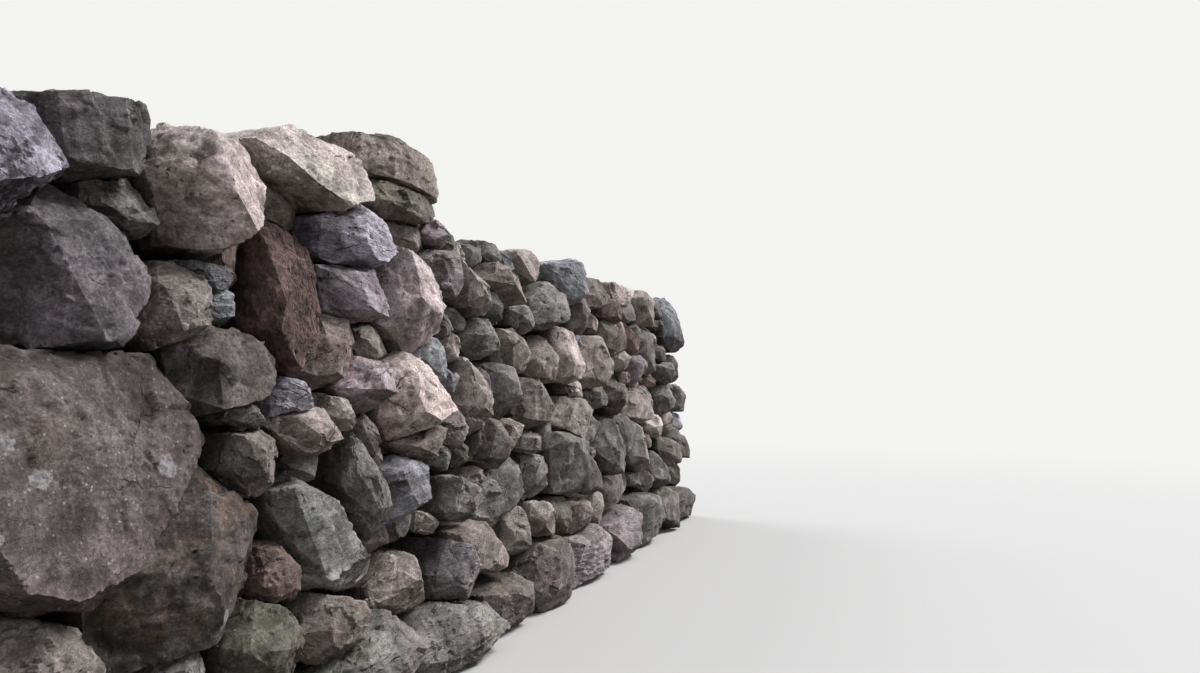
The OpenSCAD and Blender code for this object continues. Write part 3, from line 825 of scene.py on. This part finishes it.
# %% Tones of the rock
MOTTLE = Pattern(11.0, 9.0, 0.39, 0.62, rough=0.75)
BANDS, BANDS_SHARE = Pattern(6.0, 7.0, 0.41, 0.59, rough=0.68, pressed=7.0), 0.5
CLOUDS = Pattern(4.2, 3.0, 0.30, 0.70, gives=(0.80, 1.16))
PATCHES = Pattern(13.0, 5.0, 0.36, 0.64, gives=(0.82, 1.15), rough=0.55)
DRIFT = Pattern(2.6, 4.0, 0.36, 0.64)
COOL, WARM = (0.96, 1.0, 0.955, 1.0), (1.05, 0.99, 0.99, 1.0)
RUST, RUST_SHARE = Pattern(5.5, 7.0, 0.50, 0.66, rough=0.7, pressed=2.5), 0.75
RUST_COLOUR = (0.270, 0.165, 0.115, 1.0)
ALGAE, ALGAE_SHARE = Pattern(4.4, 6.0, 0.52, 0.68), 0.45
ALGAE_TINT = (0.78, 0.80, 0.66, 1.0)


def rock(stone):
    """Mottle, bands, clouds and drift of the bare rock, and the clouds' value for later."""
    light, dark = stone.given["Light"], stone.given["Dark"]
    colour = mixed(stone.share(MOTTLE), dark, light)
    banded = mixed(stone.share(BANDS), dark, light)
    colour = mixed(stone.given["Layers"] * BANDS_SHARE, colour, banded)
    clouds = stone.noise(CLOUDS)
    colour = shaded(shaded(colour, stone.share(CLOUDS, clouds)), stone.share(PATCHES))
    drift = mixed(stone.share(DRIFT), COOL, WARM)
    return mixed(1.0, colour, drift, "MULTIPLY"), clouds


def stained(stone, colour):
    """Iron stain that follows the layers, and a thin film of algae."""
    rusty = stone.share(RUST) * stone.given["Stain"] * RUST_SHARE
    return tinted(mixed(rusty, colour, RUST_COLOUR), ALGAE_TINT, stone.share(ALGAE) * ALGAE_SHARE)


# %% [markdown]
# ## Grain, specks and pits
#
# Seen close, the rock is grains of lighter and darker mineral. Cells give single grains, fine noise
# gives grit, and a few round dots are pale specks. Pits are the low ends of two noises, crowded
# where a slower noise allows them, and are painted near black, for the shade and the soil in them.

# %% Grain
# Cells are counted by the metre. Two values are where a mark sets in and where it is full.
MINERAL_CELLS, MINERAL_PRESSED, MINERAL_SHADES = 210.0, 1.8, (0.74, 1.26)
GRIT = Pattern(95.0, 6.0, 0.34, 0.66, gives=(0.62, 1.30), rough=0.7, pressed=1.6)
GRAIN_SHARE = 0.8
SPECK_CELLS, SPECK_LUCK, SPECK_RIM, SPECK_SHARE = 85.0, (0.80, 0.86), (0.14, 0.36), 0.8
CRUST = (0.440, 0.435, 0.440, 1.0)
PIT_CROWD, PIT_GAIN = Pattern(4.5, 4.0, 0.40, 0.62, gives=(0.15, 1.0)), 0.11
SMALL_PITS = Pattern(58.0, 5.0, 0.27, 0.34, gives=(1.0, 0.0), rough=0.62, pressed=2.0)
LARGE_PITS = Pattern(17.0, 5.0, 0.18, 0.24, gives=(1.0, 0.0), pressed=0.6)
# Near black: soil, and painted shade in pits, cracks, deep joints and the hearting
SOIL_AND_SHADE, SOIL_AND_SHADE_SHARE = (0.030, 0.025, 0.023, 1.0), 0.85


def grained(stone, colour):
    """Mineral grains, grit and pale specks, and the grit's value for the bump."""
    _, tone = stone.cells(MINERAL_CELLS, stone.pressed(MINERAL_PRESSED), channel=0)
    colour = shaded(colour, tone.eased(0.0, 1.0, *MINERAL_SHADES), GRAIN_SHARE)
    grit = stone.noise(GRIT)
    colour = shaded(colour, stone.share(GRIT, grit), GRAIN_SHARE)
    off_middle, luck = stone.cells(SPECK_CELLS, stone.own, channel=1)
    dots = luck.eased(*SPECK_LUCK) * off_middle.eased(*SPECK_RIM, 1.0, 0.0)
    return mixed(dots * stone.given["Specks"] * SPECK_SHARE, colour, CRUST), grit


def pitted(stone, colour):
    """Pits and holes painted near black for their shade and soil, and where they are."""
    gate = stone.given["Pits"] * stone.share(PIT_CROWD) * PIT_GAIN
    small = stone.share(SMALL_PITS, stone.noise(SMALL_PITS) - gate)
    large = stone.share(LARGE_PITS, stone.noise(LARGE_PITS) - gate)
    pits = maths("MAXIMUM", small, large)
    return mixed(pits * SOIL_AND_SHADE_SHARE, colour, SOIL_AND_SHADE), pits


# %% [markdown]
# ## Cracks, worn and highlit arrises, and painted shade in hollows
#
# Cracks are the borders between large cells, bent by noise and shown only here and there, more
# where the stone has strong layers. They are painted near black, for the shade and the soil in
# them. Arrises are painted paler in places, from the mask that hewing left, as rubbed wear and a
# painted highlight, and what the weathering pushed in is painted darker, as painted shade.

# %% Cracks and arrises
CRACK_CELLS, CRACK_PRESSED, CRACK_LINE = 3.6, 3.4, (0.002, 0.016)
CRACK_BENDS, CRACK_BEND = Pattern(7.0, 5.0, rough=0.65), 0.12
CRACKED, LAYERS_CRACK = Pattern(4.0, 3.0, 0.57, 0.66), 0.11
# Paler arrises, partly rubbed wear and partly a painted highlight
RUBBED_AND_HIGHLIT, RUBBED_AND_HIGHLIT_SHARE = Pattern(30.0, 4.0, 0.38, 0.60), 0.5
RUBBED_HIGHLIGHT_TINT = (1.12, 1.12, 1.12, 1.0)
# What the weathering pushed in is painted darker: painted shade in the hollows
HOLLOW_SHADE_FROM, HOLLOW_SHADE_SHARE = 0.45, 0.7
HOLLOW_SHADE_TINT = (0.36, 0.34, 0.32, 1.0)


def cracked(stone, colour):
    """Cracks painted near black for their shade and soil, along cell borders, and where they are."""
    bent = stone.stirred(stone.pressed(CRACK_PRESSED), CRACK_BENDS, CRACK_BEND)
    inputs = {"Vector": bent, "Scale": CRACK_CELLS}
    borders = put(stone.tree, "ShaderNodeTexVoronoi", inputs, feature="DISTANCE_TO_EDGE")
    line = out(borders, "Distance").eased(*CRACK_LINE, 1.0, 0.0)
    shown = stone.noise(CRACKED) + stone.given["Layers"] * LAYERS_CRACK
    cracks = line * stone.share(CRACKED, shown)
    # Cracks painted near black: the shade and the soil in them
    return mixed(cracks * SOIL_AND_SHADE_SHARE, colour, SOIL_AND_SHADE), cracks


def worn_highlit_and_shaded(stone, colour):
    """Arrises paler as wear and painted highlight, hollows darker as painted shade."""
    edge = attribute(stone.tree, "arris") * stone.share(RUBBED_AND_HIGHLIT) * RUBBED_AND_HIGHLIT_SHARE
    colour = mixed(edge, colour, mixed(1.0, stone.given["Light"], RUBBED_HIGHLIGHT_TINT, "MULTIPLY"))
    hollow = attribute(stone.tree, "hollow").eased(HOLLOW_SHADE_FROM, 1.0)
    return tinted(colour, HOLLOW_SHADE_TINT, hollow * HOLLOW_SHADE_SHARE)


# %% [markdown]
# ## Lichen, moss, soil and painted shade
#
# Lichen makes pale crusts with crisp rims: a cell's random number decides whether one grows there
# and how large. Moss needs rain, so it follows the way the surface faces, with noise to fray its
# edge. Soil and painted shade gather in the joints, told by how far a point lies behind the stone's
# face, and the faces that look down are painted darker, as painted shade. The top of the wall and
# its two ends are kept clear of the soil and the painted shade in the joints.

# %% What grows and settles on the stones
# Of four values, two are where a mark sets in and where it is full, and two what it gives there
LICHEN_CELLS, LICHEN_LUCK, LICHEN_SIZE, LICHEN_RIM = 12.0, (0.66, 1.0), 0.40, 0.06
LICHEN_BENDS, LICHEN_BEND = Pattern(26.0, 5.0, rough=0.65), 0.045
LICHEN_CRUMBS = Pattern(70.0, 4.0, 0.32, 0.60, gives=(0.1, 0.7))
MOSS_FRAY = Pattern(11.0, 6.0, 0.66, 0.86, rough=0.7)
MOSS_UPWARD, MOSS_MORE = 0.35, 0.06
MOSS, DRY_MOSS = (0.080, 0.088, 0.024, 1.0), (0.120, 0.112, 0.076, 1.0)
MOSS_DRYNESS = Pattern(90.0, 3.0)
# Faces that look down are painted darker: painted shade
UNDERSIDE_SHADE, UNDERSIDE_SHADE_TINT = (-0.10, -0.7, 0.0, 0.6), (0.46, 0.44, 0.42, 1.0)
JOINT_SOIL_AND_SHADE, JOINT_FRAY = (0.06, 0.20, 0.0, 0.9), 0.10
RAIN_ON_TOP = (0.3, 0.8, 1.0, 0.6)
WASHED = 0.12
TOP_FROM, TOP_TO = 1.52, 1.72
END_FROM, END_TO = 2.90, 3.00


def grown(stone, colour):
    """Lichen and moss, and how thick they stand."""
    wandering = stone.stirred(stone.own, LICHEN_BENDS, LICHEN_BEND)
    off_middle, luck = stone.cells(LICHEN_CELLS, wandering, channel=2)
    size = luck.eased(*LICHEN_LUCK, 0.0, LICHEN_SIZE) * stone.given["Lichen"]
    crust = (size - off_middle).eased(0.0, LICHEN_RIM) * stone.share(LICHEN_CRUMBS)
    colour = mixed(crust, colour, CRUST)
    wet = stone.upward * MOSS_UPWARD + stone.given["Moss"] * MOSS_MORE
    moss = stone.share(MOSS_FRAY, wet + stone.noise(MOSS_FRAY)) * stone.given["Moss"]
    colour = mixed(moss, colour, mixed(stone.noise(MOSS_DRYNESS), MOSS, DRY_MOSS))
    return colour, crust + moss


def soiled_and_shaded(stone, colour, clouds):
    """Painted shade on undersides; soil and painted shade in joints, kept off the top and ends."""
    colour = tinted(colour, UNDERSIDE_SHADE_TINT, stone.upward.eased(*UNDERSIDE_SHADE))
    inset = attribute(stone.tree, "inset") + (clouds - 0.5) * JOINT_FRAY
    places = put(stone.tree, "ShaderNodeSeparateXYZ", {0: stone.place})
    below_the_top = out(places, "Z").eased(TOP_FROM, TOP_TO, 1.0, WASHED)
    off_the_ends = maths("ABSOLUTE", out(places, "X")).eased(END_FROM, END_TO, 1.0, WASHED)
    clear = below_the_top * stone.upward.eased(*RAIN_ON_TOP) * off_the_ends
    # Soil and painted shade in the joints
    return mixed(inset.eased(*JOINT_SOIL_AND_SHADE) * clear, colour, SOIL_AND_SHADE)


# %% [markdown]
# ## The paint group
#
# The steps are put together here, with the height for the bump: coarse noise, rills along the
# layers, the grit, and pits and cracks that go in while crusts stand out.

# %% Paint group
PAINT_INPUTS = [("Light", "Color"), ("Dark", "Color"), *((mark.title(), "Float") for mark in MARKS)]
PAINT_OUTPUTS = [("Color", "Color"), ("Roughness", "Float"), ("Height", "Float")]
COARSE = Pattern(52.0, 9.0, rough=0.75)
RILLS, RILLS_HEIGHT = Pattern(26.0, 6.0, rough=0.65, pressed=6.0), 1.2
GRIT_HEIGHT, PIT_HEIGHT, GROWTH_HEIGHT = 0.35, -0.7, 0.2
DULLNESS = Pattern(40.0, 3.0, 0.3, 0.7, gives=(0.80, 0.97))


def paint_group():
    """Colour, roughness and bump height of weathered stone, from its fields."""
    tree = bpy.data.node_groups.new("weathered_stone_paint", "ShaderNodeTree")
    for sockets, way in ((PAINT_INPUTS, "INPUT"), (PAINT_OUTPUTS, "OUTPUT")):
        for name, kind in sockets:
            tree.interface.new_socket(name, in_out=way, socket_type="NodeSocket" + kind)
    stone = PaintedStone(tree)
    colour, clouds = rock(stone)
    colour, grit = grained(stone, stained(stone, colour))
    colour, pits = pitted(stone, colour)
    colour, cracks = cracked(stone, colour)
    colour, growth = grown(stone, worn_highlit_and_shaded(stone, colour))
    colour = soiled_and_shaded(stone, colour, clouds)
    rills = stone.noise(RILLS) * (stone.given["Layers"] * RILLS_HEIGHT)
    height = stone.noise(COARSE) + rills + grit * GRIT_HEIGHT
    height = height + (pits + cracks) * PIT_HEIGHT + growth * GROWTH_HEIGHT
    made = {"Color": colour, "Roughness": stone.share(DULLNESS), "Height": height}
    put(tree, "NodeGroupOutput", made)
    return tree


paint = paint_group()
print(len(paint.nodes), "nodes in the paint group")

# %% [markdown]
# ## One material for each finish
# The slots in the record name the kinds of stone. All of them use the same group, and each stone's
# own fields tell it apart. What is the same all over the surface, such as the weak shine, is set
# on the shader itself. The core is only seen in the dark of the joints, and needs no more than two
# dark tones of earth, which also stand for the shade deep in the joints.

# %% Materials
BUMP_STRENGTH, BUMP_DEPTH = 0.8, 0.009
STONE_SHINE = 0.25
EARTH_AND_SHADE = (0.105, 0.092, 0.084, 1.0)
EARTH_ROUGHNESS, EARTH_SHINE = 0.95, 0.2
SPECKLE_SCALE, SPECKLE_DETAIL, SPECKLE_RANGE = 22.0, 6.0, (0.4, 0.65)


def empty_finish(name):
    """A new material, and its tree with nothing in it."""
    material = bpy.data.materials.new(name)
    material.use_nodes = True
    material.node_tree.nodes.clear()
    return material, material.node_tree


def stone_material(slot):
    """The paint group, fed by each stone's own fields."""
    material, tree = empty_finish(slot)
    fields = {tone: attribute(tree, tone.lower(), "Color") for tone in ("Light", "Dark")}
    fields |= {mark.title(): attribute(tree, mark) for mark in MARKS}
    painted = put(tree, "ShaderNodeGroup", fields, node_tree=paint)
    bump = put(tree, "ShaderNodeBump", {
        "Height": out(painted, "Height"), "Strength": BUMP_STRENGTH, "Distance": BUMP_DEPTH,
    })
    shader = put(tree, "ShaderNodeBsdfPrincipled", {
        "Base Color": out(painted, "Color"),
        "Roughness": out(painted, "Roughness"),
        "Specular IOR Level": STONE_SHINE,
        "Normal": out(bump),
    })
    put(tree, "ShaderNodeOutputMaterial", {"Surface": out(shader)})
    return material


def earth_and_shade_material(slot):
    """Small stone bedded in soil, in dark tones that also stand for the shade of the joints."""
    material, tree = empty_finish(slot)
    speckle = put(tree, "ShaderNodeTexNoise", {
        "Vector": out(put(tree, "ShaderNodeTexCoord"), "Object"),
        "Scale": SPECKLE_SCALE, "Detail": SPECKLE_DETAIL,
    })
    shader = put(tree, "ShaderNodeBsdfPrincipled", {
        "Base Color": mixed(out(speckle).eased(*SPECKLE_RANGE), SOIL_AND_SHADE, EARTH_AND_SHADE),
        "Roughness": EARTH_ROUGHNESS,
        "Specular IOR Level": EARTH_SHINE,
    })
    put(tree, "ShaderNodeOutputMaterial", {"Surface": out(shader)})
    return material


materials = {slot: stone_material(slot) for slot in sorted(set(slot_of.values()))}
materials[slot_of["hearting"]] = earth_and_shade_material(slot_of["hearting"])
print(len(materials), "finishes:", ", ".join(materials))

# %% [markdown]
# ## Finishing every node of stones
#
# The modifier is added, its result is turned into a plain mesh, and the plain mesh stands in for
# the node of the frame. The points that weathering pushed past the frame's box are set back onto
# it, so the outer box doesn't grow. On small stones the sharp edges are found anew, because there
# the weathering moves whole flats. On the large ones that would leave a row of short dashes along
# each arris, so they keep the edges that hewing gave them.

# %% Finished stones
CRISP_ANGLE = math.radians(28)
box_low, box_high = np.array(cad_low), np.array(cad_high)


def finish(laid, node, tree, low, high):
    """Runs the tree on an object, keeps it between two corners, and puts it in the node's place."""
    modifier = laid.modifiers.new("surface", "NODES")
    modifier.node_group = tree
    for item in tree.interface.items_tree:
        if item.name == "Finish":
            modifier[item.identifier] = materials[slot_of[node]]
    depsgraph = bpy.context.evaluated_depsgraph_get()
    mesh = bpy.data.meshes.new_from_object(laid.evaluated_get(depsgraph))
    laid.modifiers.remove(modifier)
    points = np.empty(3 * len(mesh.vertices), np.float32)
    mesh.vertices.foreach_get("co", points)
    points = np.clip(points.reshape(-1, 3), low, high)
    mesh.vertices.foreach_set("co", points.ravel())
    if node not in OWN_KINDS_WITH_PAINTED_LIGHT:
        mesh.set_sharp_from_angle(angle=CRISP_ANGLE)
    mesh.name = node + "_weathered"
    piece = placed(node + "_weathered", mesh)
    bpy.data.objects.remove(laid)
    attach(piece, "root")
    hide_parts(node)
    return piece


pieces = [finish(laid, node, weathering, box_low, box_high) for node, laid in laid_stones.items()]
print(len(pieces), "pieces,", sum(len(piece.data.polygons) for piece in pieces), "triangles")

# %% [markdown]
# ## The hearting
#
# The core of a dry wall is small stone, packed by hand. It is all but hidden, and shows only as
# darkness in the open joints, so one skin is enough: the frame's prism, cut finely, and sunk
# between the cells of a Voronoi pattern as if each cell were a small stone. It only ever moves
# inwards, so it can't push through the stones round it.

# %% The rubble of the core
HEARTING_GRAIN = 0.09
MOST_HALVINGS = 8
RUBBLE = {"Rubble Size": 0.12, "Rubble Depth": 0.050}
RUBBLE_ROUNDNESS = 1.6


def rubble_tree():
    """A tree that turns the skin of a block into packed rubble."""
    tree, given = begun("packed_rubble", RUBBLE)
    place = out(put(tree, "GeometryNodeInputPosition"))
    cells = put(tree, "ShaderNodeTexVoronoi", {"Vector": place, "Scale": 1.0 / given["Rubble Size"]})
    between = maths("MINIMUM", maths("POWER", out(cells, "Distance"), RUBBLE_ROUNDNESS), 1.0)
    return ended(pushed(given["Stones"], between * given["Rubble Depth"] * -1.0))


def cut_finely(node, spacing):
    """A copy of a node's skin, welded and cut into triangles no longer than about the spacing."""
    skin = bmesh.new()
    skin.from_mesh(nodes[node].data)
    bmesh.ops.remove_doubles(skin, verts=skin.verts, dist=WELD)
    for _ in range(MOST_HALVINGS):
        long_edges = [edge for edge in skin.edges if edge.calc_length() > spacing]
        if not long_edges:
            break
        bmesh.ops.subdivide_edges(skin, edges=long_edges, cuts=1)
        bmesh.ops.triangulate(skin, faces=skin.faces)
    mesh = bpy.data.meshes.new(node)
    skin.to_mesh(mesh)
    skin.free()
    return placed("laid_" + node, mesh)


core = cut_finely("hearting", HEARTING_GRAIN)
core_points = np.array([vertex.co for vertex in core.data.vertices])
pieces.append(finish(core, "hearting", rubble_tree(), core_points.min(0), core_points.max(0)))
print(len(pieces[-1].data.polygons), "triangles in the hearting")

# %% [markdown]
# ## The floor
#
# A pale floor that fades into a pale surround. A pale floor would also light the beds of the
# stones from below, and flatten them, so only the camera sees it pale: to the light it is as dark
# as earth. The stones' shadow stays on it.

# %% Floor
SURROUND = (0.90, 0.90, 0.89, 1.0)
FLOOR_SEEN = (0.53, 0.527, 0.52, 1.0)
FLOOR_FOR_LIGHT = (0.16, 0.15, 0.14, 1.0)
FLOOR_REACH = 60
FADE_FROM, FADE_TO = 4.0, 13.0


def seen_straight(tree):
    """1 on rays from the camera and in sharp reflections, else 0."""
    rays = put(tree, "ShaderNodeLightPath")
    return maths("MAXIMUM", out(rays, "Is Camera Ray"), out(rays, "Is Glossy Ray"))


def floor_finish():
    """Pale to the camera and fading into the surround, dark to the light."""
    material, tree = empty_finish("pale_floor")
    away = vectors("LENGTH", out(put(tree, "ShaderNodeTexCoord"), "Object"))
    near = out(put(tree, "ShaderNodeBsdfDiffuse", {"Color": FLOOR_SEEN}))
    far = out(put(tree, "ShaderNodeEmission", {"Color": SURROUND}))
    lit = out(put(tree, "ShaderNodeBsdfDiffuse", {"Color": FLOOR_FOR_LIGHT}))
    seen = put(tree, "ShaderNodeMixShader", {0: away.eased(FADE_FROM, FADE_TO), 1: near, 2: far})
    either = put(tree, "ShaderNodeMixShader", {0: seen_straight(tree), 1: lit, 2: out(seen)})
    put(tree, "ShaderNodeOutputMaterial", {"Surface": out(either)})
    return material


floor_corners = FLOOR_REACH * np.array([[-1, -1, 0], [1, -1, 0], [1, 1, 0], [-1, 1, 0]], float)
floor_mesh = new_mesh("floor", floor_corners, np.array([[0, 1, 2], [0, 2, 3]]))
floor_mesh.materials.append(floor_finish())
floor = placed("floor", floor_mesh)
print("floor", 2 * FLOOR_REACH, "m wide")

# %% [markdown]
# ## World and lamps
#
# Soft light comes from high on the open side of the wall, and a little from beyond it. The near
# sides and the beds of the stones then lie in shade, which is what makes rubble look deep. The
# world is dim for the light and pale for the camera.

# %% World and lamps
SKY = (0.94, 0.955, 1.0, 1.0)
SKY_STRENGTH = 0.56

world = bpy.data.worlds.new("pale_world")
bpy.context.scene.world = world
world.use_nodes = True
sky = world.node_tree
sky.nodes.clear()
dim = out(put(sky, "ShaderNodeBackground", {"Color": SKY, "Strength": SKY_STRENGTH}))
pale = out(put(sky, "ShaderNodeBackground", {"Color": SURROUND, "Strength": 1.0}))
both = put(sky, "ShaderNodeMixShader", {0: seen_straight(sky), 1: dim, 2: pale})
put(sky, "ShaderNodeOutputWorld", {"Surface": out(both)})


def soft_light(name, source, spread, strength, colour):
    """Light from far away in the direction of a point; a wide spread in degrees softens shadows."""
    data = bpy.data.lights.new(name, "SUN")
    data.angle = math.radians(spread)
    data.energy = strength
    data.color = colour
    lamp = placed(name, data)
    lamp.location = source
    lamp.rotation_euler = (-Vector(source)).to_track_quat("-Z", "Y").to_euler()
    return lamp


lamps = [
    soft_light("front_light", (8, -7, 11), spread=20.0, strength=3.8, colour=(1.0, 0.99, 0.985)),
    soft_light("back_light", (3, 9, 8), spread=30.0, strength=0.9, colour=(0.97, 0.98, 1.0)),
]
print(", ".join(f"{lamp.name} {lamp.data.energy:.1f}" for lamp in lamps))

# %% [markdown]
# ## The picture
#
# The Standard view transform shows a colour about as it is written.

# %% View transform
bpy.context.scene.view_settings.view_transform = "Standard"
